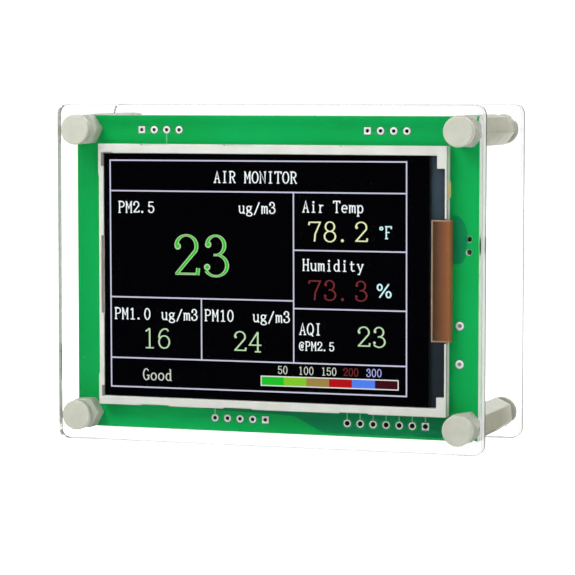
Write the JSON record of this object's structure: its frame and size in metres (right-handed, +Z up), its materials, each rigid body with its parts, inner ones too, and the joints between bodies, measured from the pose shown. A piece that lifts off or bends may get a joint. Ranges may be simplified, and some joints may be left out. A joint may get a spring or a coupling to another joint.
{
  "type": "air quality monitor",
  "caption": "Desktop air quality monitor: green board with a colour display between two clear acrylic plates on nylon standoffs, laser particle sensor with fan behind.",
  "frame": {"origin": "bottom centre of the object: plate edges at Z 0, half of the depth at Y 0", "axes": "+X to the right seen from the front, +Y to the back, +Z up; the display faces -Y"},
  "size_m": [0.084, 0.034, 0.064],
  "materials": {
    "clear_acrylic": "clear cast acrylic, polished edges",
    "green_board": "green solder mask on glass-fibre board",
    "nylon": "natural off-white nylon",
    "display_plastic": "white moulded plastic",
    "display_face": "black polarising film with a lit picture",
    "display_glass": "dark display glass",
    "light_guide": "clear light guide",
    "silicon": "bare driver chip",
    "flex_circuit": "amber flexible circuit",
    "flex_tab": "tan flexible tab",
    "foam": "adhesive foam",
    "sensor_plastic": "blue-grey moulded plastic",
    "black_plastic": "black moulded plastic",
    "steel": "tinned steel",
    "brass": "gold-plated",
    "white_plastic": "ivory moulded plastic",
    "cable_sheath": "coloured wire insulation",
    "pouch_foil": "aluminium laminate pouch",
    "amber_tape": "amber film tape",
    "red_wire": "red insulation",
    "black_wire": "black insulation",
    "ferrite": "dark ferrite"
  },
  "bodies": {
    "frame": {"front_plate": "clear_acrylic", "rear_plate": "clear_acrylic", "main_board": "green_board", "front_screw_1": "nylon", "front_spacer_1": "nylon", "standoff_1": "nylon", "rear_screw_1": "nylon", "front_screw_2": "nylon", "front_spacer_2": "nylon", "standoff_2": "nylon", "rear_screw_2": "nylon", "front_screw_3": "nylon", "front_spacer_3": "nylon", "standoff_3": "nylon", "rear_screw_3": "nylon", "front_screw_4": "nylon", "front_spacer_4": "nylon", "standoff_4": "nylon", "rear_screw_4": "nylon", "display_frame": "display_plastic", "display_polariser": "display_face", "display_upper_glass": "display_glass", "display_lower_glass": "display_glass", "display_light_guide": "light_guide", "display_lamp_strip": "white_plastic", "display_driver_chip": "silicon", "display_flex": "flex_circuit", "display_backlight_tab": "flex_tab", "display_tape": "foam", "sensor_pad": "foam", "sensor_case": "sensor_plastic", "sensor_cover": "sensor_plastic", "sensor_circuit": "green_board", "fan_housing": "black_plastic", "fan_axle": "steel", "laser_holder": "black_plastic", "laser_diode": "brass", "sensor_socket": "white_plastic", "sensor_plug": "white_plastic", "sensor_cable": "cable_sheath", "cable_plug": "white_plastic", "cable_socket": "white_plastic", "battery_pad": "foam", "battery_cell": "pouch_foil", "battery_circuit": "amber_tape", "battery_lead_red": "red_wire", "battery_lead_black": "black_wire", "battery_plug": "white_plastic", "battery_socket": "white_plastic", "climate_sensor_case": "white_plastic", "climate_sensor_cover": "white_plastic", "charging_socket_shell": "steel", "charging_socket_tongue": "black_plastic", "button_case": "black_plastic", "microcontroller": "black_plastic", "voltage_regulator": "black_plastic", "power_inductor": "ferrite"},
    "fan": {"fan_rotor": "black_plastic"},
    "button": {"button_plunger": "black_plastic"}
  },
  "joints": [
    {"name": "fan_spin", "type": "hinge", "parent": "frame", "child": "fan", "pos_m": [-0.0218, 0.001, 0.045], "axis": [0, 1, 0], "continuous": true},
    {"name": "button_press", "type": "slide", "parent": "frame", "child": "button", "axis": [-1, 0, 0], "range_m": [0, 0.00025]}
  ]
}
